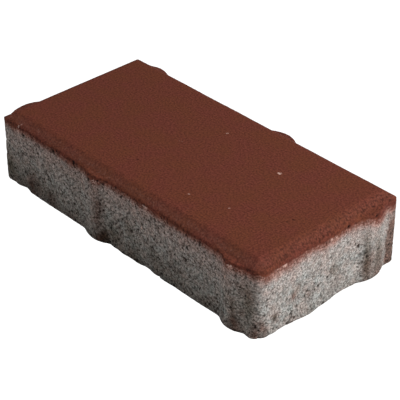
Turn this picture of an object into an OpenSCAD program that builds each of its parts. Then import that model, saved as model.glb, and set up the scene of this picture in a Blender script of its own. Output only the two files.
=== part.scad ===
// Pressed two-layer concrete paving stone, for the 200 x 100 mm laying module.
// A pigmented facing lies on a grey backing, and both were pressed in one mould.
// The stone lies on its base: X along its length, Y across it, Z up.
// The origin is the middle of the base.

/* [Body] */
// Length between the two end walls, without the spacer nibs
body_length = 197; // [120:1:300]
// Width between the two side walls, without the spacer nibs
body_width = 97; // [80:1:200]
// Height from the base to the walking face
body_height = 44; // [30:0.5:100]
// Radius of the four upright corners, seen from above
corner_radius = 1.5; // [0.5:0.5:6]

/* [Walking face] */
// Width of the bevel round the walking face, seen from above
bevel_width = 5.1; // [2:0.1:10]
// Height of the bevel, from its lower edge to the walking face
bevel_depth = 4.4; // [2:0.1:10]
// Thickness of the pigmented facing, measured down from the walking face
facing_depth = 6.5; // [4:0.1:15]

/* [Spacer nibs] */
// Width of a nib where it leaves the wall, at the base
nib_width = 18; // [10:0.5:24]
// How far a nib stands out from its wall, at the base
nib_reach = 3; // [1.5:0.1:5]
// How much less a nib stands out at its top than at the base
nib_draft = 0.8; // [0.2:0.1:1.2]
// Distance from a corner nib's middle to the wall that it stands next to
corner_nib_inset = 17.5; // [15:0.5:25]
// Distance from a middle nib's centre line to the middle of its side wall
middle_nib_offset = 22; // [0:0.5:25]

/* [Hidden] */

// Height of the bevel's lower edge, where the nibs end too
arris_height = body_height - bevel_depth;
// Height of the plane where the facing meets the backing
seam_height = body_height - facing_depth;
// Radius of the round that gives a nib its width and reach at the base
nib_radius = (pow(nib_width / 2, 2) + pow(nib_reach, 2)) / (2 * nib_reach);
// How far inside the wall the axis of that round stands
nib_axis_inset = nib_radius - nib_reach;
// How deep a nib's root runs into the body, past the round of the upright corners
nib_root = corner_radius + 1;
// Extra length of a cutting solid past the faces that it cuts
overcut = 10;
$fn = 96;

// Plan of the body with its rounded upright corners
module body_plan() {
    straight_length = body_length - 2 * corner_radius;
    straight_width = body_width - 2 * corner_radius;
    square([body_length, straight_width], center = true);
    square([straight_length, body_width], center = true);
    for (side_x = [-1, 1], side_y = [-1, 1])
        translate([side_x * straight_length / 2, side_y * straight_width / 2])
            circle(r = corner_radius);
}

// Upright section across a body of the given width, with both bevels
module bevelled_section(width) {
    polygon([
        [-width / 2, 0],
        [width / 2, 0],
        [width / 2, arris_height],
        [width / 2 - bevel_width, body_height],
        [-width / 2 + bevel_width, body_height],
        [-width / 2, arris_height]
    ]);
}

// Straight prism of the section across the width, running along X
module lengthwise_prism() {
    rotate([90, 0, 90])
        linear_extrude(height = body_length + overcut, center = true)
            bevelled_section(body_width);
}

// Straight prism of the section along the length, running along Y
module crosswise_prism() {
    rotate([90, 0, 0])
        linear_extrude(height = body_width + overcut, center = true)
            bevelled_section(body_length);
}

// Body without nibs: plan and both sections cut each other, so the bevels meet in mitres
module body() {
    intersection() {
        linear_extrude(height = body_height)
            body_plan();
        lengthwise_prism();
        crosswise_prism();
    }
}

// One tapered spacer nib, standing out towards -Y from a wall in the plane y = 0
module nib() {
    clip_width = nib_width + 1;
    intersection() {
        translate([0, nib_axis_inset, 0])
            cylinder(h = arris_height, r1 = nib_radius, r2 = nib_radius - nib_draft);
        translate([-clip_width / 2, -nib_reach - overcut, 0])
            cube([clip_width, nib_reach + overcut + nib_root, arris_height]);
    }
}

// Nibs of one side wall and one end wall
module nibs_of_half() {
    translate([0, -body_width / 2, 0]) {
        translate([-middle_nib_offset, 0, 0])
            nib();
        translate([body_length / 2 - corner_nib_inset, 0, 0])
            nib();
    }
    translate([body_length / 2, body_width / 2 - corner_nib_inset, 0])
        rotate([0, 0, 90])
            nib();
}

// Whole pressed stone; its nibs repeat after half a turn, so a turned stone still fits
module stone() {
    body();
    for (turn = [0, 180])
        rotate([0, 0, turn])
            nibs_of_half();
}

// Level slab, wider than the stone, between two heights
module slab(low, high) {
    translate([-body_length / 2 - overcut, -body_width / 2 - overcut, low])
        cube([body_length + 2 * overcut, body_width + 2 * overcut, high - low]);
}

// Grey backing concrete, from the base up to the seam
module backing_block() {
    color("#8c8986")
        intersection() {
            stone();
            slab(-overcut, seam_height);
        }
}

// Iron-red facing concrete, from the seam up to the walking face
module facing_layer() {
    color("#6b3b2e")
        intersection() {
            stone();
            slab(seam_height, body_height + overcut);
        }
}

backing_block();
facing_layer();
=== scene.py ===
# Looks of a pressed two-layer concrete paving stone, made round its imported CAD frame.
# Shapes are worked out in millimetres and become metres when their mesh is made.
import math

import bpy
import numpy as np
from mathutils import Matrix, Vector


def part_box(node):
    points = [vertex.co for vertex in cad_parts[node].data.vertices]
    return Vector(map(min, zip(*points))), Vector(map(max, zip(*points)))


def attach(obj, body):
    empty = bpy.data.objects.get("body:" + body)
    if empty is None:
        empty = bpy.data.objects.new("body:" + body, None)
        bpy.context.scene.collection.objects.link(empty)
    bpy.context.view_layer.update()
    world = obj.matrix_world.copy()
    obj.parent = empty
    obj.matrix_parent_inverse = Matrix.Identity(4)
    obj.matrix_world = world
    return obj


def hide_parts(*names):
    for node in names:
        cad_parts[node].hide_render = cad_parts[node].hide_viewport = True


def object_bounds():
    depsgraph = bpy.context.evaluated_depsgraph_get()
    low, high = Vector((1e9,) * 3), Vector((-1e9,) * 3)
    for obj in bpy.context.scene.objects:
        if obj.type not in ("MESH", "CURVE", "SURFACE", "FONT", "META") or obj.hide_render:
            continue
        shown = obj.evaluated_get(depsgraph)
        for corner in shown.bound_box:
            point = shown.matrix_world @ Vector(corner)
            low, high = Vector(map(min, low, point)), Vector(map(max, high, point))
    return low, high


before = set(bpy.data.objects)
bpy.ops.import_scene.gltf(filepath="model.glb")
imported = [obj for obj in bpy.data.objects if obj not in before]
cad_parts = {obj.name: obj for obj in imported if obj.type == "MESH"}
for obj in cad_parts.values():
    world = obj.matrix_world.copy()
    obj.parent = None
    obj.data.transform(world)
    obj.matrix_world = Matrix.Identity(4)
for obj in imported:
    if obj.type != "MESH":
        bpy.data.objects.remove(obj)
cad_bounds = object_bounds()

# ---------------------------------------------------------------- sizes of the stone, in millimetres

MM = 0.001
NIB_REACH = 3.0  # how far the frame's nibs stand out at the base
NIB_DRAFT = 0.8  # how much less they stand out at their top
CORNER_RADIUS = 0.8  # of the upright corners that are not worn
BEVEL_WIDTH = 5.1
BEVEL_DEPTH = 4.4
HALF_LENGTH = cad_bounds[1].x / MM - NIB_REACH
HALF_WIDTH = cad_bounds[1].y / MM - NIB_REACH
TOP = cad_bounds[1].z / MM
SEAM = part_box("facing_layer")[0].z / MM
ARRIS = TOP - BEVEL_DEPTH

# Walls by number, anticlockwise seen from above: the one that faces -Y, then +X, +Y and -X.
FRONT, RIGHT, BACK, LEFT = range(4)
NO_WALL = -1
FAR_ABOVE_SEAM = 10.0  # stands for any height well above the seam

# Spacer nibs: wall, place along the wall in the anticlockwise sense, width, reach at the base.
NIBS = [
    (FRONT, -22, 18, 2.8),
    (FRONT, 81, 18, 3.4),
    (RIGHT, 31, 20, 3.4),
    (BACK, -19, 20, 4.1),
    (BACK, 81, 18, 3.0),
    (LEFT, 33, 22, 4.3),
]

# Bulges and dents low on the walls: wall, place, half width, outward, height that they reach.
BASE_SWELLS = [
    (FRONT, -94, 7, -0.6, 14),
    (FRONT, -84, 7, -1.4, 12),
    (FRONT, -11, 4, -0.5, 9),
    (FRONT, 0, 5, 0.5, 10),
    (FRONT, 17.5, 7, -0.9, 9),
    (FRONT, 27.5, 1.5, -0.6, 5),
    (FRONT, 32, 7, 0.4, 12),
    (FRONT, 52, 22, 0.3, 12),
    (FRONT, 94, 7, 1.3, 16),
    (RIGHT, -38, 14, 0.5, 30),
    (RIGHT, -27, 5, 0.5, 12),
    (RIGHT, -15, 16, 2.2, 16),
    (RIGHT, -1, 9, 1.0, 14),
    (RIGHT, 19, 8, 0.5, 10),
    (RIGHT, 47, 6, 0.3, 60),
    (BACK, -94, 9, 0.7, 60),
    (BACK, -60, 12, 0.8, 14),
    (LEFT, 8, 14, -0.8, 12),
    (LEFT, 46, 12, 1.2, 90),
]

# Worn upright corners: which way each points along X and Y, its radius at the base and the top.
WORN_CORNERS = [(1, -1, 5.8, 5.2), (-1, 1, 3.0, 2.0)]

# Stretches where the pigmented mix ran lower on the wall: wall, place, half width, how much lower.
SEAM_SAGS = [
    (FRONT, -92, 9, 1.2),
    (FRONT, -22, 8, 1.2),
    (FRONT, 78, 7, 1.0),
    (FRONT, 92, 7, 1.0),
    (RIGHT, -44, 7, 0.8),
    (RIGHT, 34, 9, 2.6),
    (RIGHT, 46, 5, 1.8),
    (BACK, -21, 9, 1.8),
    (LEFT, 31, 9, 2.0),
]

# How much higher the seam runs on each wall, and how near a corner the walls' values blend.
SEAM_RISE = {FRONT: 0.6, RIGHT: -0.4, BACK: 0.2, LEFT: 0.3}
CORNER_BLEND = 8.0

# ---------------------------------------------------------------- repeatable noise on whole arrays


def lattice(cell, seed):
    """A repeatable number from 0 to 1 for each whole-number point: its coordinates are
    multiplied by large odd numbers, mixed by shifts, and the low 24 bits are kept."""
    n = cell.astype(np.int64).astype(np.uint64)
    h = n[..., 0] * np.uint64(0x9E3779B185EBCA87)
    h ^= n[..., 1] * np.uint64(0xC2B2AE3D27D4EB4F)
    h ^= n[..., 2] * np.uint64(0x165667B19E3779F9)
    h ^= np.uint64(seed) * np.uint64(0x27D4EB2F165667C5)
    h ^= h >> np.uint64(29)
    h *= np.uint64(0xBF58476D1CE4E5B9)
    h ^= h >> np.uint64(32)
    return (h & np.uint64(0xFFFFFF)).astype(float) / 0xFFFFFF


def value_noise(points, size, seed):
    """Smooth noise from -1 to 1 with lumps of the given size: lattice numbers blended by the
    smoothstep of the place between them, along each axis in turn."""
    scaled = points / size
    cell = np.floor(scaled)
    part = scaled - cell
    part = part * part * (3 - 2 * part)
    total = 0
    for corner in np.ndindex(2, 2, 2):
        weight = np.prod(np.where(corner, part, 1 - part), axis=-1)
        total = total + weight * lattice(cell + corner, seed)
    return 2 * total - 1


# The noises on the skin: size of the lumps in millimetres, and seed.
LUMPS = {
    "coarse_grit": (1.9, 1),
    "fine_grit": (1.1, 2),
    "wall_wave": (13.0, 3),
    "top_wave": (21.0, 4),
    "top_sand": (1.3, 5),
    "patches_of_voids": (8.0, 6),
    "crumbling": (15.0, 61),
    "long_seam_wave": (17.0, 31),
    "short_seam_wave": (5.0, 32),
    "seam_teeth": (1.7, 33),
    "bleed": (6.0, 41),
    "stain_patches": (3.5, 51),
    "stain_grains": (1.3, 52),
    # the next noise breaks up the painted shade on the walls
    "painted_shade": (9.0, 53),
}


def lumps(points, kind):
    """The named noise, from -1 to 1."""
    return value_noise(points, *LUMPS[kind])


def bowls(points, spacing, share, radius, seed):
    """Bowl-shaped hollows from 0 to 1 deep: one in a share of the cells of a loose grid, each
    (1 - (distance / r)^2) deep at a point, with r between the two radii. The deepest one counts."""
    scaled = points / spacing
    home = np.floor(scaled)
    deepest = np.zeros(len(points))
    for step in np.ndindex(3, 3, 3):
        cell = home + step - 1
        centre = np.stack([lattice(cell, seed + k) for k in range(3)], axis=-1)
        distance = np.linalg.norm((scaled - cell - centre) * spacing, axis=-1)
        r = radius[0] + (radius[1] - radius[0]) * lattice(cell, seed + 3)
        depth = np.clip(1 - (distance / r) ** 2, 0, None) * r / radius[1]
        deepest = np.maximum(deepest, depth * (lattice(cell, seed + 4) < share))
    return deepest


def swell(distance, half_width):
    """A smooth hump: 1 in the middle, 0 past the half width, a squared cosine between."""
    t = np.clip(np.abs(distance) / half_width, 0, 1)
    return np.cos(t * math.pi / 2) ** 2


def ramp(value, low, high):
    """0 below low, 1 above high, smoothstep between."""
    t = np.clip((value - low) / (high - low), 0, 1)
    return t * t * (3 - 2 * t)


# ---------------------------------------------------------------- plan of the stone

CELL = 0.55  # spacing of the mesh on the faces that show
NIB_SOFTNESS = 0.6  # square of the depth, in millimetres, over which a nib blends into the wall
NIB_SHRINK = 0.05  # taken off after that blend, so a flat wall stays nearly flat
SEAM_BELOW_ARRIS = 1.2  # least height of facing between the seam and the arris
TOP_INSET = BEVEL_WIDTH + 1.5  # where the rings round the stone give way to the top's own grid
NX = 2 * round((HALF_LENGTH - TOP_INSET) / CELL)
NY = 2 * round((HALF_WIDTH - TOP_INSET) / CELL)
SIDE_CELLS = [NX, NY, NX, NY]
COLUMNS = sum(SIDE_CELLS)


def plan(inset):
    """Rounded rectangle `inset` inside the walls, seen from above. Each side's run is half a
    corner round, a straight and half a round, and a column stands at the same share of the run
    on every ring. Gives the points, the outward normals and the place along the side."""
    radius = CORNER_RADIUS
    halves = [HALF_LENGTH - inset, HALF_WIDTH - inset]
    points, normals, places = [], [], []
    for side, cells in enumerate(SIDE_CELLS):
        half, far = halves[side % 2], halves[1 - side % 2]
        arc, straight = radius * math.pi / 4, 2 * (half - radius)
        run = np.arange(cells) / cells * (2 * arc + straight) - arc
        on_straight = np.clip(run, 0, straight)
        turn = (run - on_straight) / radius
        along = radius - half + on_straight + radius * np.sin(turn)
        out = far - radius + radius * np.cos(turn)
        heading = side * math.pi / 2
        forward = np.array([math.cos(heading), math.sin(heading)])
        outward = np.array([math.sin(heading), -math.cos(heading)])
        points.append(np.outer(along, forward) + np.outer(out, outward))
        normals.append(np.outer(np.sin(turn), forward) + np.outer(np.cos(turn), outward))
        places.append(along)
    return np.concatenate(points), np.concatenate(normals), np.concatenate(places)


SIDE = np.repeat(np.arange(4), SIDE_CELLS)
PLAN, _, PLACE = plan(0)


def on_side(side, place, half_width):
    """For each column, a hump at one place on one wall."""
    return (SIDE == side) * swell(PLACE - place, half_width)


def outset(height):
    """How far each column of the wall stands out from the flat wall at a height: the nibs, as
    arcs of a circle blended softly into the wall, and the swells near the base."""
    out = np.zeros(COLUMNS)
    share = height / ARRIS
    for side, place, width, reach in NIBS:
        radius = ((width / 2) ** 2 + reach**2) / (2 * reach)
        across = np.clip(PLACE - place, -radius, radius)
        arc = np.sqrt(radius**2 - across**2) - (radius - reach) - NIB_DRAFT * share
        soft = (arc + np.sqrt(arc**2 + NIB_SOFTNESS)) / 2 - NIB_SHRINK
        out = np.maximum(out, soft * (SIDE == side) * (np.abs(PLACE - place) < width))
    for side, place, half_width, outward, reach in BASE_SWELLS:
        out = out + outward * on_side(side, place, half_width) * (1 - ramp(height, 0, reach))
    return out


def by_wall(side, place, values):
    """For each point the value of its own wall, and 0 off the walls. Within CORNER_BLEND of an
    upright corner it goes over to the mean of the two walls that meet there."""
    half = np.where(side % 2, HALF_WIDTH, HALF_LENGTH)
    own, following, before = (
        np.select([side == wall for wall in values], [values[(wall + n) % 4] for wall in values], 0.0)
        for n in (0, 1, -1)
    )
    to_following = 0.5 * (1 - ramp(half - place, 0, CORNER_BLEND))
    to_before = 0.5 * (1 - ramp(half + place, 0, CORNER_BLEND))
    return own + to_following * (following - own) + to_before * (before - own)


def seam_height():
    """Height of the wavy line between the two mixes, for each column."""
    line = np.column_stack([PLAN, np.zeros(COLUMNS)])
    height = SEAM + 0.5 * lumps(line, "long_seam_wave") + 0.5 * lumps(line, "short_seam_wave")
    height = height + 0.4 * lumps(line, "seam_teeth")
    height = height + by_wall(SIDE, PLACE, SEAM_RISE)
    for side, place, half_width, lower in SEAM_SAGS:
        height = height - lower * on_side(side, place, half_width)
    return np.minimum(height, ARRIS - SEAM_BELOW_ARRIS)


SEAM_LINE = seam_height()


# ---------------------------------------------------------------- where colour strays, per point

# Iron stains on the walls: wall, place, height, half width, half height, strength. Those on the front at
# -18 and -16 and on the right at 27 lie on nib flanks turned from the key light and are partly painted
# shade.
STAINS = [
    (FRONT, -75, 4, 10, 16, 0.9),
    (FRONT, -60, 3, 12, 10, 0.6),
    (FRONT, -42, 1, 7, 6, 0.6),
    (FRONT, -18, 14, 6, 30, 0.7),
    (FRONT, -16, 2, 7, 12, 1.0),
    (FRONT, 85, 3, 6, 15, 0.9),
    (FRONT, 97, 3, 5, 15, 0.8),
    (RIGHT, -46, 3, 6, 13, 0.8),
    (RIGHT, -38, 9, 5, 6, 0.5),
    (RIGHT, -25, 15, 4, 5, 0.6),
    (RIGHT, -14, 11, 8, 7, 0.4),
    (RIGHT, 4, 6, 8, 6, 0.4),
    (RIGHT, 27, 6, 6, 24, 0.6),
    (RIGHT, 35, 2, 9, 20, 0.6),
    (RIGHT, 46.5, 8, 6.5, 30, 2.2),
    (BACK, -30, 10, 18, 12, 0.6),
    (BACK, 60, 16, 12, 14, 0.5),
    (LEFT, -20, 8, 14, 10, 0.7),
]

# Spots of painted shade on the walls, many on the flanks of nibs and at their feet, in the same order.
SHADE_SPOTS = [
    (FRONT, -97, 12, 9, 15, 0.5),
    (LEFT, 47, 12, 9, 15, 0.5),
    (FRONT, -14, 3, 5, 9, 0.6),
    (FRONT, -6, 9, 10, 10, 0.35),
    (FRONT, 4, 19, 6, 9, 0.4),
    (FRONT, 22, 14, 8, 9, 0.25),
    (FRONT, 92, 20, 8, 20, 0.5),
    (FRONT, 84, 12, 4, 14, 0.3),
    (RIGHT, -38, 9.5, 2.6, 3.2, 0.9),
    (RIGHT, -22, 19, 6, 6, 0.35),
    (RIGHT, 4, 17, 6, 7, 0.45),
    (RIGHT, 25.8, 14, 3.6, 26, 0.75),
    (RIGHT, 34, 15, 7, 20, 0.55),
    (RIGHT, -14, 2, 8, 5, 0.3),
    (RIGHT, 16, 2, 10, 5, 0.25),
]

# Pale chips of broken sand along the arris: wall, place, height, half width, half height, strength.
CHIPS = [
    (FRONT, -86, 36.5, 3.5, 2.5, 0.6),
    (FRONT, -85.5, 39.5, 1.0, 2.2, 0.6),
    (FRONT, 75.5, 36.5, 1.0, 2.4, 0.8),
    (FRONT, 76.8, 33, 1.0, 2.6, 0.8),
    (FRONT, 78, 29.5, 0.9, 2.4, 0.7),
    (FRONT, 15, 24, 0.9, 2.5, 0.6),
    (FRONT, -20, 36.3, 4, 2, 0.5),
    (FRONT, 18, 38.3, 3, 1.6, 1.0),
    (FRONT, 81.5, 37, 3, 2, 0.9),
    (RIGHT, -31.5, 37, 2.2, 1.5, 1.0),
    (RIGHT, -36, 37.3, 1.6, 1.2, 0.8),
    (RIGHT, 2, 36, 5, 1.6, 0.5),
]

# Single deep pits in the walls, in the same order.
WALL_PITS = [
    (RIGHT, -37.8, 8.3, 1.3, 1.5, 1.0),
    (RIGHT, -29.6, 15.6, 1.0, 1.1, 1.0),
    (RIGHT, -27.8, 23, 0.9, 1.1, 0.8),
    (RIGHT, -12.8, 2, 2.4, 1.3, 0.9),
    (RIGHT, -4, 27.5, 0.8, 0.9, 0.7),
    (RIGHT, 1.5, 18, 1.1, 1.7, 1.0),
    (RIGHT, 10.4, 11.3, 1.1, 1.0, 1.0),
    (RIGHT, 23, 4, 1.4, 1.2, 0.9),
    (RIGHT, 31, 3, 1.6, 1.2, 0.8),
    (FRONT, -88, 30, 1.2, 1.0, 0.9),
    (FRONT, -50, 20, 1.0, 1.2, 0.8),
    (FRONT, 8, 26, 1.1, 1.1, 0.8),
    (FRONT, 45, 12, 1.3, 1.2, 0.9),
]

# Pale grains and dark pits in the pressed top: place in plan, radius, strength.
TOP_GRAINS = [
    (48, 16, 1.1, 1.0), (1.5, 24, 0.9, 0.35), (-9.5, 1, 0.9, 0.3), (-52.5, -11, 0.8, 0.3),
    (30.5, -31, 0.9, 0.4), (40.5, -39, 0.9, 0.35), (53, -24.5, 0.8, 0.35),
]
TOP_PITS = [
    (81.5, -8.5, 0.7, 0.8), (80.5, -12, 0.7, 0.7), (-11.5, -28, 0.7, 0.7), (20, -9, 0.6, 0.4),
    (62, -18, 0.6, 0.4),
]

# Red that shows on each wall under the seam: share right under it, how far down it fades, and
# the share of a faint tint that fades over TINT_FADE.
BLEED = {
    FRONT: (0.5, 2.2, 0.32),
    RIGHT: (0.66, 4.2, 0.15),
    BACK: (0.6, 4.0, 0.15),
    LEFT: (0.6, 3.5, 0.2),
}
TINT_FADE = 13.0
STREAKED = [1, 1, 0.3]  # draws noise out into upright streaks
SHORTEST_FADE = 0.01  # keeps the fade above nothing on points that are on no wall
# Share of the bevel's grains that lost their red paste, along each wall.
BEVEL_WEAR = {FRONT: 0.08, RIGHT: 0.03, BACK: 0.07, LEFT: 0.07}

# Painted shade on each wall, most on the walls turned from the key light: share at mid height, and share
# added towards the base.
BASE_SHADE = {FRONT: (0.24, 0.4), RIGHT: (0.05, 0.18), BACK: (0.1, 0.4), LEFT: (0.15, 0.5)}
BASE_SHADE_FADE = (-4, 34)  # heights between which the added share fades

# How much painted shade darkens the gaps between the grains of each wall, and of its bevel: most on the
# walls turned from the key light, and on the right-hand bevel.
GAP_SHADE = {FRONT: 1.0, RIGHT: 0.3, BACK: 0.7, LEFT: 0.8}
BEVEL_GAP_SHADE = {FRONT: 0.1, RIGHT: 0.75, BACK: 0.3, LEFT: 0.3}
GAP_SHADE_GROWTH = 1.2  # share of a wall's own that is added at the base
GAP_SHADE_FADE = (4, 22)  # heights between which that fades


def painted_gap_shade(points, side, place):
    """Share of painted shade in the gaps between grains: each wall's own share, which grows towards the
    base, another share on its bevel above the arris, and none on the flat top."""
    on_bevel = ramp(points[:, 2], ARRIS - 0.6, ARRIS + 0.6)
    below_top = 1 - ramp(points[:, 2], TOP - 0.8, TOP - 0.1)
    wall, bevel = by_wall(side, place, GAP_SHADE), by_wall(side, place, BEVEL_GAP_SHADE)
    near_base = 1 - ramp(points[:, 2], *GAP_SHADE_FADE)
    wall = np.minimum(wall * (1 + GAP_SHADE_GROWTH * near_base), 1)
    return (wall + (bevel - wall) * on_bevel) * below_top


def wall_spots(points, side, place, spots):
    """Smooth spots on the walls, from a list: a hump along the wall times a hump in height."""
    total = np.zeros(len(points))
    for wall, along, height, half_width, half_height, strength in spots:
        spot = swell(place - along, half_width) * swell(points[:, 2] - height, half_height)
        total = np.maximum(total, strength * spot * (side == wall))
    return total


def top_spots(points, spots):
    """Round spots on the pressed top, from a list: 1 in the middle, falling off by the square."""
    total = np.zeros(len(points))
    for x, y, radius, strength in spots:
        distance = np.hypot(points[:, 0] - x, points[:, 1] - y)
        spot = strength * np.clip(1.3 - (distance / radius) ** 2, 0, 1)
        total = np.maximum(total, spot * (points[:, 2] > ARRIS))
    return total


def pigment(points, depth, side, place):
    """Share of red grains in the surface: 1 in the facing, a little less on the worn bevel, and
    under the seam share * exp(-(depth / length)^2) + tint * exp(-(depth / fade)^2)."""
    share, length, tint = (
        by_wall(side, place, {wall: amounts[n] for wall, amounts in BLEED.items()}) for n in range(3)
    )
    length = (length + SHORTEST_FADE) * (1 + 0.35 * lumps(points * STREAKED, "bleed"))
    under = np.clip(depth, 0, None)
    below = share * np.exp(-(under / length) ** 2) + tint * np.exp(-(under / TINT_FADE) ** 2)
    above = share + tint + (1 - share - tint) * ramp(-depth, 0, 0.8)
    worn = by_wall(side, place, BEVEL_WEAR) * swell(points[:, 2] - ARRIS - 2, 2.8)
    return np.where(depth > 0, below, above - worn)


def staining(points, side, place):
    """Strength of the brown stains, from the list above, broken up by noise."""
    broken = 1 + 0.4 * lumps(points, "stain_patches") + 0.2 * lumps(points, "stain_grains")
    return np.clip(wall_spots(points, side, place, STAINS) * broken, 0, 0.9)


def base_shading(points, side, place):
    """Share of painted shade on the walls: an even part, more towards the base, and spots of it."""
    low = 1 - ramp(points[:, 2], *BASE_SHADE_FADE)
    even, extra = (
        by_wall(side, place, {wall: amounts[n] for wall, amounts in BASE_SHADE.items()}) for n in range(2)
    )
    painted_shade = (even + extra * low) * (1 + 0.4 * lumps(points, "painted_shade"))
    return np.clip(painted_shade + wall_spots(points, side, place, SHADE_SPOTS), 0, 1)


# ---------------------------------------------------------------- skin of the stone, ring by ring

# Rings of the base: inset, height, and share of the wall's swelling that they take.
BASE_STEPS = [(3.0, 0, 0), (1.8, 0, 0.4), (0.8, 0, 0.8), (0.2, 0.15, 1.0)]
# Rings that round the arris: height from it, and how far back from the wall.
ARRIS_STEPS = [(-0.7, 0.0), (-0.35, 0.02), (-0.1, 0.15)]
WALL_FOOT = 0.6  # height of the lowest ring that is open wall
RINGS_ABOVE_SEAM = 3
LEDGE_RINGS = 6  # from the arris in to the foot of the bevel, over the tops of the nibs
LEDGE_RISE = 0.5
BEVEL_FOOT = 0.5  # inset of the foot of the bevel
BEVEL_ROUND = 0.8  # depth over which the bevel rounds into the top
TOP_LIFT = 0.1  # makes up for part of what that round takes off the top
PRESSED_MARGIN = 1.2  # how far past the bevel its roughness ends
# Roughness of the other zones, where open wall is 1 and the pressed top is 0.
BASE_ROUGH, EDGE_ROUGH, LEDGE_ROUGH, BEVEL_ROUGH = 0.4, 0.5, 0.8, 0.5
# The bevel at the right-hand end came out coarse, more so towards its far end; the others smooth.
COARSER_END, OTHER_BEVELS = 0.9, 0.4


def ring(inset, height, out=0.0):
    """One closed ring of points: the plan at an inset, moved outward by `out`, at a height. At
    a worn corner no point is further than the wear's radius from the middle of its round."""
    points, normals, _ = plan(inset)
    points = points + normals * np.reshape(out, (-1, 1))
    for along_x, along_y, at_base, at_top in WORN_CORNERS:
        radius = at_base + (at_top - at_base) * np.clip(height / ARRIS, 0, 1)
        turn = np.array([along_x, along_y])
        middle = np.column_stack([along_x * (HALF_LENGTH - radius), along_y * (HALF_WIDTH - radius)])
        away = points - middle
        distance = np.linalg.norm(away, axis=1)
        most = np.maximum(radius - inset + out, 0.1)
        outside = (away * turn > 0).all(axis=1) & (distance > most)
        shrink = np.where(outside, most / np.maximum(distance, 1e-9), 1)
        points = middle + away * shrink[:, None]
    return np.column_stack([points, np.broadcast_to(height, COLUMNS)])


def bevel_height(inset):
    """Height of the bevel at an inset: a straight slope, rounded into the flat top by
    (t + sqrt(t^2 + k^2)) / 2, where t is the slope's depth below the top."""
    depth = BEVEL_DEPTH * (1 - inset / BEVEL_WIDTH)
    return TOP - (depth + math.sqrt(depth**2 + BEVEL_ROUND**2)) / 2 + TOP_LIFT


def base_rings():
    """Rings of the base outside its own grid, with their roughness, out to the base edge."""
    out = outset(0)
    return [
        (ring(inset, height, out * share), np.full(COLUMNS, EDGE_ROUGH))
        for inset, height, share in BASE_STEPS
    ]


def wall_rings(bottom, top, count):
    """Rings of open wall at even steps, from one height up to just below another."""
    rings = []
    for step in range(count):
        height = bottom + (top - bottom) * step / count
        rings.append((ring(0, height, outset(height)), np.ones(COLUMNS)))
    return rings


def arris_rings():
    """Rings round the arris, then in over the tops of the nibs to the foot of the bevel."""
    rim = outset(ARRIS)
    rings = [
        (ring(0, ARRIS + height, rim - back), np.ones(COLUMNS)) for height, back in ARRIS_STEPS
    ]
    top_height, top_back = ARRIS_STEPS[-1]
    for step in range(1, LEDGE_RINGS + 1):
        share = step / LEDGE_RINGS
        out = (rim - top_back) * (1 - share) - BEVEL_FOOT * share
        height = ARRIS + top_height + LEDGE_RISE * share
        rings.append((ring(0, height, out), np.full(COLUMNS, LEDGE_ROUGH)))
    return rings


def bevel_rings():
    """Rings up the bevel and over its rounded top. They get smoother towards the pressed top."""
    coarse = np.where(SIDE == RIGHT, 1 + COARSER_END * ramp(PLACE, -60, 45), OTHER_BEVELS)
    count = round((TOP_INSET - BEVEL_FOOT) / CELL)
    rings = []
    for step in range(1, count + 1):
        inset = BEVEL_FOOT + (TOP_INSET - BEVEL_FOOT) * step / count
        share = 1 - ramp(inset, BEVEL_FOOT, BEVEL_WIDTH + PRESSED_MARGIN)
        rings.append((ring(inset, bevel_height(inset)), share * BEVEL_ROUGH * coarse))
    return rings


def skin_rings():
    """All rings of the stone from the rim of the base grid to the rim of the top grid, the
    roughness of each point, and the number of the ring that follows the seam."""
    arris = ARRIS + ARRIS_STEPS[0][0]
    below = base_rings() + wall_rings(WALL_FOOT, SEAM_LINE, round((SEAM - WALL_FOOT) / CELL))
    above = wall_rings(SEAM_LINE, arris, RINGS_ABOVE_SEAM) + arris_rings() + bevel_rings()
    rings, rough = zip(*below, *above)
    return np.array(rings), np.array(rough), len(below)


def fill(rim, nx, ny):
    """Points inside a four-sided rim, as a grid: each is the blend of the two facing sides along
    x, plus that along y, less the blend of the four corners (a Coons patch)."""
    south = rim[: nx + 1]
    east = rim[nx : nx + ny + 1]
    north = rim[nx + ny : 2 * nx + ny + 1][::-1]
    west = np.concatenate([rim[2 * nx + ny :], rim[:1]])[::-1]
    u = np.linspace(0, 1, nx + 1)[:, None, None]
    v = np.linspace(0, 1, ny + 1)[None, :, None]
    across = (1 - v) * south[:, None] + v * north[:, None]
    along = (1 - u) * west[None] + u * east[None]
    corners = (1 - u) * ((1 - v) * rim[0] + v * west[-1]) + u * ((1 - v) * east[0] + v * north[-1])
    return (across + along - corners)[1:-1, 1:-1].reshape(-1, 3)


def patch_faces(rim_ids, inner_ids, nx, ny):
    """Four-sided faces of such a grid, from the numbers of its rim and inner points."""
    ids = np.empty((nx + 1, ny + 1), int)
    ids[:, 0] = rim_ids[: nx + 1]
    ids[nx, :] = rim_ids[nx : nx + ny + 1]
    ids[:, ny] = rim_ids[nx + ny : 2 * nx + ny + 1][::-1]
    ids[0, 1:] = rim_ids[2 * nx + ny :][::-1]
    ids[1:-1, 1:-1] = inner_ids.reshape(nx - 1, ny - 1)
    return np.stack([ids[:-1, :-1], ids[1:, :-1], ids[1:, 1:], ids[:-1, 1:]], -1).reshape(-1, 4)


def band_faces(ids):
    """Four-sided faces between rings of point numbers, one row to a ring, closed on itself."""
    near, far = ids, np.roll(ids, -1, axis=1)
    return np.stack([near[:-1], far[:-1], far[1:], near[1:]], -1).reshape(-1, 4)


def corner_normals(points, faces):
    """A unit normal for each point: the sum of its faces' own, from their diagonals."""
    a, b, c, d = (points[faces[:, k]] for k in range(4))
    face = np.cross(c - a, d - b)
    total = np.zeros_like(points)
    for k in range(4):
        for axis in range(3):
            total[:, axis] += np.bincount(faces[:, k], face[:, axis], len(points))
    return total / np.maximum(np.linalg.norm(total, axis=1, keepdims=True), 1e-12)


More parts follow.
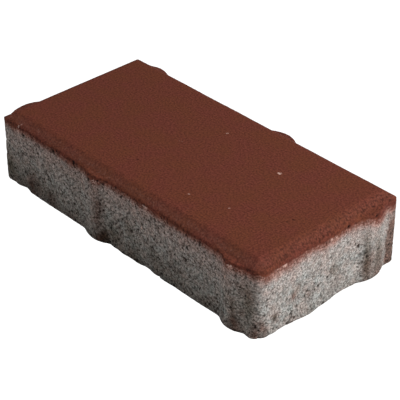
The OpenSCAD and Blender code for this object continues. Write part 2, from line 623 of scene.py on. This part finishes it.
# Hollows: spacing of the loose grid that they lie on, share of its cells that hold one, least and
# greatest radius, seed.
HOLLOWS = {
    "voids": (1.9, 0.45, (0.45, 0.95), 10),
    "caverns": (6.0, 0.35, (0.7, 1.5), 20),
    "crumbs": (2.0, 0.6, (0.5, 1.0), 60),
    "base_chips": (2.6, 0.5, (0.6, 1.3), 80),
    "pinholes": (7.0, 0.06, (0.5, 0.8), 70),
}
# Depth in the middle of the widest.
HOLLOW_DEPTH = {"voids": 0.45, "caverns": 0.7, "crumbs": 0.4, "base_chips": 0.5}
PINHOLE_DEPTH = 0.4
SINGLE_PIT_DEPTH = 0.5
# Height of the relief's lumps, in millimetres, and a rise that makes up for the hollows.
GRIT_RELIEF, WALL_WAVE, TOP_WAVE, TOP_SAND = 0.2, 0.2, 0.05, 0.03
OPEN_RISE = 0.15
FEWER_VOIDS = (16, 32)  # heights between which half of the voids' depth fades
DRAWN = [1, 1, 0.85]  # the mould was lifted off, which drew the grain a little upwards


def wall_hollows(points, rough):
    """How deep each kind of hollow in the open walls is, from 0 to 1: voids between the grains,
    more in some patches and low down, caverns, crumbs off the arris, chips off the base edge."""
    height = points[:, 2]
    low = 1 - 0.5 * ramp(height, *FEWER_VOIDS)
    patch = ramp(lumps(points, "patches_of_voids"), -0.4, 0.4)
    crumbling = ramp(lumps(points, "crumbling"), -0.3, 0.3)
    arris = swell(height - ARRIS - 0.7, 2.6) * ramp(rough, 0.35, 0.75)
    base_edge = swell(height, 4.5) * (rough > 0.9)
    return {
        "voids": bowls(points * DRAWN, *HOLLOWS["voids"]) * (0.25 + 0.75 * patch) * low,
        "caverns": bowls(points, *HOLLOWS["caverns"]),
        "crumbs": bowls(points, *HOLLOWS["crumbs"]) * arris * (0.35 + 0.65 * crumbling),
        "base_chips": bowls(points, *HOLLOWS["base_chips"]) * base_edge,
    }


def relief(points, rough):
    """How far the surface stands out at each point, how deep in a hollow the point is, and how
    deep in a gap between grains, both from 0 to 1. The open walls get lumps of coated grit and
    hollows between them; the pressed top only a faint wave and a few pinholes."""
    drawn = points * DRAWN
    grit = 0.4 * lumps(drawn, "coarse_grit") + 0.6 * lumps(drawn, "fine_grit")
    hollows = wall_hollows(points, rough)
    open_face = OPEN_RISE + GRIT_RELIEF * grit + WALL_WAVE * lumps(points, "wall_wave")
    for kind, depth in HOLLOW_DEPTH.items():
        open_face = open_face - depth * hollows[kind]
    pinholes = bowls(points, *HOLLOWS["pinholes"])
    pressed_face = TOP_WAVE * lumps(points, "top_wave") + TOP_SAND * lumps(points, "top_sand")
    pressed_face = pressed_face - PINHOLE_DEPTH * pinholes
    out = open_face * rough + pressed_face * (1 - rough)
    hollows["crumbs"] = 0.9 * hollows["crumbs"]
    deepest = np.maximum.reduce(list(hollows.values())) * rough
    # A hollow's painted shade is full from 1 / 1.6 of its depth; a pinhole's never quite.
    pits = np.clip(1.6 * np.maximum(deepest, 0.6 * pinholes * (1 - rough)), 0, 1)
    return out, pits, ramp(-grit, -0.15, 0.5) * rough


def make_piece(name, points, faces, cap_edges, attributes):
    """A mesh object from whole arrays, in metres, smooth but for the hidden cap's rim."""
    mesh = bpy.data.meshes.new(name)
    mesh.from_pydata(points * MM, [], faces)
    mesh.update()
    mesh.polygons.foreach_set("use_smooth", np.ones(len(mesh.polygons), bool))
    edges = np.empty(2 * len(mesh.edges), int)
    mesh.edges.foreach_get("vertices", edges)
    sharp = np.isin(edges.reshape(-1, 2), cap_edges).all(axis=1)
    mesh.attributes.new("sharp_edge", "BOOLEAN", "EDGE").data.foreach_set("value", sharp)
    for key, values in attributes.items():
        mesh.attributes.new(key, "FLOAT", "POINT").data.foreach_set("value", values.astype(np.float32))
    piece = bpy.data.objects.new(name, mesh)
    bpy.context.scene.collection.objects.link(piece)
    return piece


def skin():
    """The whole skin before its relief: its points, their roughness, the number of the ring that
    follows the seam, and the points' numbers: the base's rim, the rings above it as rows, the
    inside of the base and the inside of the top. The base's rim has every other column only."""
    rings, ring_rough, seam_ring = skin_rings()
    base_rim = rings[0][::2]
    zones = [
        (base_rim, BASE_ROUGH),
        (rings[1:].reshape(-1, 3), ring_rough[1:].ravel()),
        (fill(base_rim, NX // 2, NY // 2), BASE_ROUGH),
        (fill(rings[-1], NX, NY), 0.0),
    ]
    points = np.concatenate([zone for zone, _ in zones])
    rough = np.concatenate([np.broadcast_to(roughness, len(zone)) for zone, roughness in zones])
    ends = np.cumsum([len(zone) for zone, _ in zones])[:-1]
    rim, above_rim, base, top = np.split(np.arange(len(points)), ends)
    return points, rough, seam_ring - 1, (rim, above_rim.reshape(-1, COLUMNS), base, top)


def skin_faces(rim, rings, base, top):
    """Faces of the base, of the bands between rings, and of the top, all four-sided, and the
    five-sided ones by which the base's rim meets the first ring, with twice as many points."""
    first = rings[0]
    step = [rim, np.roll(rim, -1), np.roll(first, -2)[::2], np.roll(first, -1)[::2], first[::2]]
    base_faces = patch_faces(rim, base, NX // 2, NY // 2)[:, ::-1]
    return base_faces, band_faces(rings), patch_faces(rings[-1], top, NX, NY), np.stack(step, -1)


def make_layer(name, points, quads, fives, seam, cap_faces_down, marks):
    """One closed layer: its own share of the skin, and a cap inside the stone that fans out
    from a middle point, the last in the list, to the points of the seam."""
    used = np.unique(np.concatenate([quads.ravel(), fives.ravel()]))
    renumber = np.full(len(points), -1)
    renumber[used] = np.arange(len(used))
    rim = renumber[seam]
    pair = [rim, np.roll(rim, -1)]
    cap = np.stack((pair[::-1] if cap_faces_down else pair) + [np.full(len(rim), len(used))], -1)
    middle = [0, 0, SEAM_LINE.mean()]
    faces = renumber[quads].tolist() + renumber[fives].tolist() + cap.tolist()
    attributes = {key: np.append(values[used], 0) for key, values in marks.items()}
    return make_piece(name, np.concatenate([points[used], [middle]]), faces, rim, attributes)


def surface_marks(points, rings, base, side, place, pits, gaps, holes):
    """The marks that the materials read at each point, by name. Rings are the numbers of the
    points on rings, base those of the base's own; the rest lie on the top."""
    depth = np.full(len(points), -FAR_ABOVE_SEAM)
    depth[rings] = SEAM_LINE - points[rings, 2]
    depth[base] = SEAM_LINE.mean()
    chips = np.maximum(wall_spots(points, side, place, CHIPS), top_spots(points, TOP_GRAINS))
    return {
        "pigment": pigment(points, depth, side, place),
        "stain": staining(points, side, place),
        # painted shade, darker towards the base and in spots
        "painted_shade": base_shading(points, side, place),
        # painted shade in the gaps between grains
        "painted_gap_shade": painted_gap_shade(points, side, place) * (0.6 + 0.4 * gaps),
        # painted shade in hollows, pits and pinholes
        "hollow": np.maximum(pits, 0.8 * holes),
        "chip": chips,
    }


def build_stone():
    """Both layers as closed meshes that share the points of the seam."""
    points, rough, seam_ring, ids = skin()
    rim, rings, base, _ = ids
    base_faces, bands, top_faces, step_faces = skin_faces(*ids)
    normals = corner_normals(points, np.concatenate([base_faces, bands, top_faces]))
    side = np.full(len(points), NO_WALL)
    side[rings] = SIDE
    place = np.zeros(len(points))
    place[rings] = PLACE
    out, pits, gaps = relief(points, rough)
    holes = np.maximum(top_spots(points, TOP_PITS), wall_spots(points, side, place, WALL_PITS))
    points = points + normals * (out - SINGLE_PIT_DEPTH * holes)[:, None]
    points[:, 2] = np.maximum(points[:, 2], 0)  # nothing reaches below the floor
    on_base = np.concatenate([rim, base])
    marks = surface_marks(points, rings, on_base, side, place, pits, gaps, holes)
    below, above = np.split(bands, [seam_ring * COLUMNS])
    backing = np.concatenate([base_faces, below])
    facing = np.concatenate([above, top_faces])
    seam = rings[seam_ring]
    return (
        make_layer("backing_concrete", points, backing, step_faces, seam, False, marks),
        make_layer("facing_concrete", points, facing, step_faces[:0], seam, True, marks),
    )


# ---------------------------------------------------------------- materials

# Sizes of the patterns, in millimetres. Grit in such a mix is 0.1 to 2 mm across. The finest sand
# and the paste between it would not show, so they are drawn about 1 mm wide.
SAND = 1.0
CLOUD = 14
GRIT = 0.85
PASTE = 0.8
TINT = 7.0
GAP = 1.3
TURNING = 0.9  # grains that turn red or pale one by one
# Shader noise lies mostly between 0.3 and 0.7, so a MapRange node with close limits makes it crisp.

# Colours of the mixes, dark and pale, and of what lies on them.
RED_PASTE = ("4e241b", "4f281c")
RED_SAND = ("713a2e", "6e3b28")
GREY_GRIT = ("88827f", "cbc5c2")
GREY_PASTE = "6b6561"
GREY_TINTS = ("f4ffff", "fff6f1")
# The next colour is the film of painted shade on the walls.
SHADE_FILM = "9a9083"
RUST_STAIN = "b08c80"
PIGMENT_WASH = "ffbbaa"
# The next colour is the painted shade in the gaps between grains.
GAP_SHADE_COLOUR = "5a5653"
BARE_SAND = "d0ada0"
HOLLOW_SHADE = "52463f"

MARKS = ("pigment", "stain", "painted_shade", "painted_gap_shade", "hollow", "chip")
# Settings of a Mix node for colours, its inputs (share, first and second colour) and its output.
BLEND = {"data_type": "RGBA", "blend_type": "MIX"}
DARKEN = {"data_type": "RGBA", "blend_type": "MULTIPLY"}
SHARE, FIRST, SECOND = 0, 6, 7
MIXED = 2


def linear(hex_colour):
    """A linear RGBA colour from an sRGB hex value such as "8c8986"."""
    channels = [int(hex_colour[k : k + 2], 16) / 255 for k in (0, 2, 4)]
    return [c / 12.92 if c <= 0.04045 else ((c + 0.055) / 1.055) ** 2.4 for c in channels] + [1]


def per_mm(size):
    """Scale of a texture whose lumps are `size` millimetres, on coordinates in metres."""
    return 1 / (size * MM)


def add(tree, kind, links=None, **settings):
    """Adds one shader node. links gives each input a value or another node's output."""
    made = tree.nodes.new("ShaderNode" + kind)
    for key, value in settings.items():
        setattr(made, key, value)
    for key, value in (links or {}).items():
        if isinstance(value, bpy.types.NodeSocket):
            tree.links.new(value, made.inputs[key])
        else:
            made.inputs[key].default_value = value
    return made


def start_material(name, roughness):
    """An empty material with a matt mineral surface, and its object coordinates."""
    material = bpy.data.materials.new(name)
    material.use_nodes = True
    tree = material.node_tree
    tree.nodes.clear()
    shader = add(tree, "BsdfPrincipled", {"Roughness": roughness, "IOR": 1.5, "Specular IOR Level": 0.12})
    output = add(tree, "OutputMaterial")
    tree.links.new(shader.outputs[0], output.inputs["Surface"])
    place = add(tree, "TexCoord").outputs["Object"]
    return material, tree, shader, place


def red_mix(tree, place):
    """Colour and height of the pigmented mix: fine sand in an iron-oxide paste, in two tints that
    lie in clouds."""
    sand = add(tree, "TexNoise", {"Vector": place, "Scale": per_mm(SAND), "Detail": 3.0}).outputs[0]
    grain = add(tree, "MapRange", {"Value": sand, "From Min": 0.32, "From Max": 0.68}).outputs[0]
    cloud = add(tree, "TexNoise", {"Vector": place, "Scale": per_mm(CLOUD), "Detail": 3.0}).outputs[0]
    tint = add(tree, "MapRange", {"Value": cloud, "From Min": 0.35, "From Max": 0.65}).outputs[0]
    dark, pale = (
        add(tree, "Mix", {SHARE: tint, FIRST: linear(a), SECOND: linear(b)}, **BLEND).outputs[MIXED]
        for a, b in (RED_PASTE, RED_SAND)
    )
    return add(tree, "Mix", {SHARE: grain, FIRST: dark, SECOND: pale}, **BLEND).outputs[MIXED], sand


def grey_mix(tree, place):
    """Colour and height of the backing mix: coated grit, each grain in its own grey, with darker
    paste between the grains, and a tint that wanders between warm and cool."""
    cells = add(tree, "TexVoronoi", {"Vector": place, "Scale": per_mm(GRIT), "Randomness": 1.0})
    grey = add(tree, "SeparateColor", {"Color": cells.outputs["Color"]}).outputs[0]
    paste = add(tree, "TexNoise", {"Vector": place, "Scale": per_mm(PASTE), "Detail": 3.0}).outputs[0]
    shade = add(tree, "MapRange", {"Value": paste, "From Min": 0.34, "From Max": 0.5}).outputs[0]
    wander = {"Vector": place, "Scale": per_mm(TINT), "Detail": 5.0, "Roughness": 0.8}
    tone = add(tree, "TexNoise", wander).outputs[0]
    warmth = add(tree, "MapRange", {"Value": tone, "From Min": 0.38, "From Max": 0.62}).outputs[0]
    dark, pale = (linear(colour) for colour in GREY_GRIT)
    cool, warm = (linear(colour) for colour in GREY_TINTS)
    grains = add(tree, "Mix", {SHARE: grey, FIRST: dark, SECOND: pale}, **BLEND).outputs[MIXED]
    in_paste = {SHARE: shade, FIRST: linear(GREY_PASTE), SECOND: grains}
    colour = add(tree, "Mix", in_paste, **BLEND).outputs[MIXED]
    tint = add(tree, "Mix", {SHARE: warmth, FIRST: cool, SECOND: warm}, **BLEND).outputs[MIXED]
    return add(tree, "Mix", {SHARE: 1.0, FIRST: colour, SECOND: tint}, **DARKEN).outputs[MIXED], paste


def gap_share(tree, place, painted_gap_shade):
    """Share of painted shade, in the gaps of a noise a little wider than the grains."""
    wide = add(tree, "TexNoise", {"Vector": place, "Scale": per_mm(GAP), "Detail": 2.0}).outputs[0]
    gap = add(tree, "MapRange", {"Value": wide, "From Min": 0.52, "From Max": 0.36}).outputs[0]
    return add(tree, "Math", {0: gap, 1: painted_gap_shade}, operation="MULTIPLY").outputs[0]


def grain_share(tree, amount, luck):
    """Share that shows grain by grain: a grain turns as 1.4 times the amount passes its own luck,
    from 0 to 1, and has turned fully 0.4 past it, so at an amount of 1 every grain has turned."""
    ahead = add(tree, "Math", {0: amount, 1: 1.4, 2: 0.0}, operation="MULTIPLY_ADD").outputs[0]
    ahead = add(tree, "Math", {0: ahead, 1: luck}, operation="SUBTRACT").outputs[0]
    return add(tree, "MapRange", {"Value": ahead, "From Min": 0.0, "From Max": 0.4}).outputs[0]


def red_share(tree, pigment, luck):
    """Share of red in the surface: six tenths of it even, the rest grain by grain."""
    squared = add(tree, "Math", {0: pigment, 1: pigment}, operation="MULTIPLY").outputs[0]
    by_grain = grain_share(tree, squared, luck)
    return add(tree, "Mix", {0: 0.4, 2: squared, 3: by_grain}).outputs[0]


def concrete(name, roughness, bump_mm):
    """Both mixes in one surface: the pigment attribute says how many grains are red, and the other
    attributes lay painted shade towards the base, in the gaps between grains and in the hollows, and
    stains and pale chips over them."""
    material, tree, shader, place = start_material(name, roughness)
    red, sand = red_mix(tree, place)
    mark = {key: add(tree, "Attribute", attribute_name=key).outputs["Fac"] for key in MARKS}
    grey, paste = grey_mix(tree, place)
    grains = add(tree, "TexVoronoi", {"Vector": place, "Scale": per_mm(TURNING), "Randomness": 1.0})
    luck = add(tree, "SeparateColor", {"Color": grains.outputs["Color"]}).outputs[1]
    share = red_share(tree, mark["pigment"], luck)
    # The first film is painted shade, darker towards the base and in spots; the stain and the pink wash
    # are the stone's own colours.
    for key, film in (("painted_shade", SHADE_FILM), ("stain", RUST_STAIN), ("pigment", PIGMENT_WASH)):
        filmed = {SHARE: mark[key], FIRST: grey, SECOND: linear(film)}
        grey = add(tree, "Mix", filmed, **DARKEN).outputs[MIXED]
    colour = add(tree, "Mix", {SHARE: share, FIRST: grey, SECOND: red}, **BLEND).outputs[MIXED]
    # Painted shade in the gaps between grains, most on the walls turned from the light and low down.
    gap_shaded = {SHARE: gap_share(tree, place, mark["painted_gap_shade"]), FIRST: colour, SECOND: linear(GAP_SHADE_COLOUR)}
    colour = add(tree, "Mix", gap_shaded, **DARKEN).outputs[MIXED]
    chip = grain_share(tree, mark["chip"], luck)
    bare = add(tree, "Mix", {SHARE: 0.7, FIRST: colour, SECOND: linear(BARE_SAND)}, **BLEND).outputs[MIXED]
    colour = add(tree, "Mix", {SHARE: chip, FIRST: colour, SECOND: bare}, **BLEND).outputs[MIXED]
    # Painted shade in the hollows, pits and pinholes.
    hollow = {SHARE: mark["hollow"], FIRST: colour, SECOND: linear(HOLLOW_SHADE)}
    colour = add(tree, "Mix", hollow, **DARKEN).outputs[MIXED]
    tree.links.new(colour, shader.inputs["Base Color"])
    height = add(tree, "Mix", {SHARE: share, FIRST: paste, SECOND: sand}, **BLEND).outputs[MIXED]
    bump = add(tree, "Bump", {"Height": height, "Distance": bump_mm * MM, "Strength": 0.8})
    tree.links.new(bump.outputs[0], shader.inputs["Normal"])
    return material


# ---------------------------------------------------------------- the stone

backing_piece, facing_piece = build_stone()
# Grey concrete, pressed dry and stripped at once: open voids between coated grit, dead matt.
backing = concrete("grey_backing_concrete_stripped", roughness=0.95, bump_mm=0.14)
# Iron-oxide facing concrete, closed by the stamp: fine sand in a smooth matt paste.
facing = concrete("red_facing_concrete_pressed", roughness=0.85, bump_mm=0.08)
for piece, node_name, material in (
    (backing_piece, "backing_block", backing),
    (facing_piece, "facing_layer", facing),
):
    piece.data.materials.append(material)
    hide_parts(node_name)
    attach(piece, "root")

# ---------------------------------------------------------------- studio


def make_sheet(name, height, glow):
    """Wide flat white sheet under the stone, at a height in metres, that may glow by itself."""
    half = 3.0  # metres, far past the edges of every view
    corners = [(x * half, y * half, height) for x, y in ((-1, -1), (1, -1), (1, 1), (-1, 1))]
    mesh = bpy.data.meshes.new(name)
    mesh.from_pydata(corners, [], [(0, 1, 2, 3)])
    sheet = bpy.data.objects.new(name, mesh)
    bpy.context.scene.collection.objects.link(sheet)
    material = bpy.data.materials.new("matt_white_studio_paper")
    material.use_nodes = True
    shader = material.node_tree.nodes["Principled BSDF"]
    shader.inputs["Base Color"].default_value = linear("f2f2f2")
    shader.inputs["Roughness"].default_value = 1.0
    shader.inputs["Specular IOR Level"].default_value = 0.0
    shader.inputs["Emission Color"].default_value = linear("ffffff")
    shader.inputs["Emission Strength"].default_value = glow
    mesh.materials.append(material)
    return sheet


def make_floor():
    """Pale floor: white paper that lights the stone from below, and a lit sheet right under it
    that only the camera sees, so the floor looks evenly white."""
    paper = make_sheet("floor_paper", height=0.0, glow=0.0)
    paper.visible_camera = False
    lit = make_sheet("floor_light", height=-0.0002, glow=1.0)
    lit.visible_diffuse = False
    lit.visible_glossy = False


def make_softbox(name, azimuth, elevation, distance, size, watts):
    """Square area light aimed at the stone. Azimuth 0 is +X and 90 is +Y, in degrees."""
    a, e = math.radians(azimuth), math.radians(elevation)
    away = Vector((math.cos(a) * math.cos(e), math.sin(a) * math.cos(e), math.sin(e)))
    data = bpy.data.lights.new(name, "AREA")
    data.size = size
    data.energy = watts
    lamp = bpy.data.objects.new(name, data)
    lamp.location = away * distance
    lamp.rotation_mode = "QUATERNION"
    lamp.rotation_quaternion = away.to_track_quat("Z", "Y")
    bpy.context.scene.collection.objects.link(lamp)


def make_world(strength):
    """Even white light from all round."""
    world = bpy.data.worlds.new("studio_surround")
    world.use_nodes = True
    background = world.node_tree.nodes["Background"]
    background.inputs["Color"].default_value = linear("ffffff")
    background.inputs["Strength"].default_value = strength
    bpy.context.scene.world = world


def make_camera():
    """Camera at three-quarter view from above, with a long lens. Azimuth 0 looks along +Y and
    90 along -X, in degrees; the distance and the point aimed at are in millimetres."""
    azimuth, elevation, distance = math.radians(47.05), math.radians(33.65), 788.97
    aim = Vector((11.55, -5.22, 19.7)) * MM
    back = Vector((
        math.sin(azimuth) * math.cos(elevation),
        -math.cos(azimuth) * math.cos(elevation),
        math.sin(elevation),
    ))
    data = bpy.data.cameras.new("camera")
    data.lens = 135.75
    data.sensor_width = 36
    camera = bpy.data.objects.new("camera", data)
    camera.location = aim + back * distance * MM
    camera.rotation_mode = "QUATERNION"
    camera.rotation_quaternion = back.to_track_quat("Z", "Y")
    bpy.context.scene.collection.objects.link(camera)
    bpy.context.scene.camera = camera


make_floor()
make_softbox("key_softbox", azimuth=23, elevation=47, distance=1.2, size=0.4, watts=14.9)
make_softbox("fill_softbox", azimuth=225, elevation=35, distance=1.2, size=0.6, watts=1.1)
make_world(strength=0.22)
make_camera()
bpy.context.scene.view_settings.view_transform = "Standard"
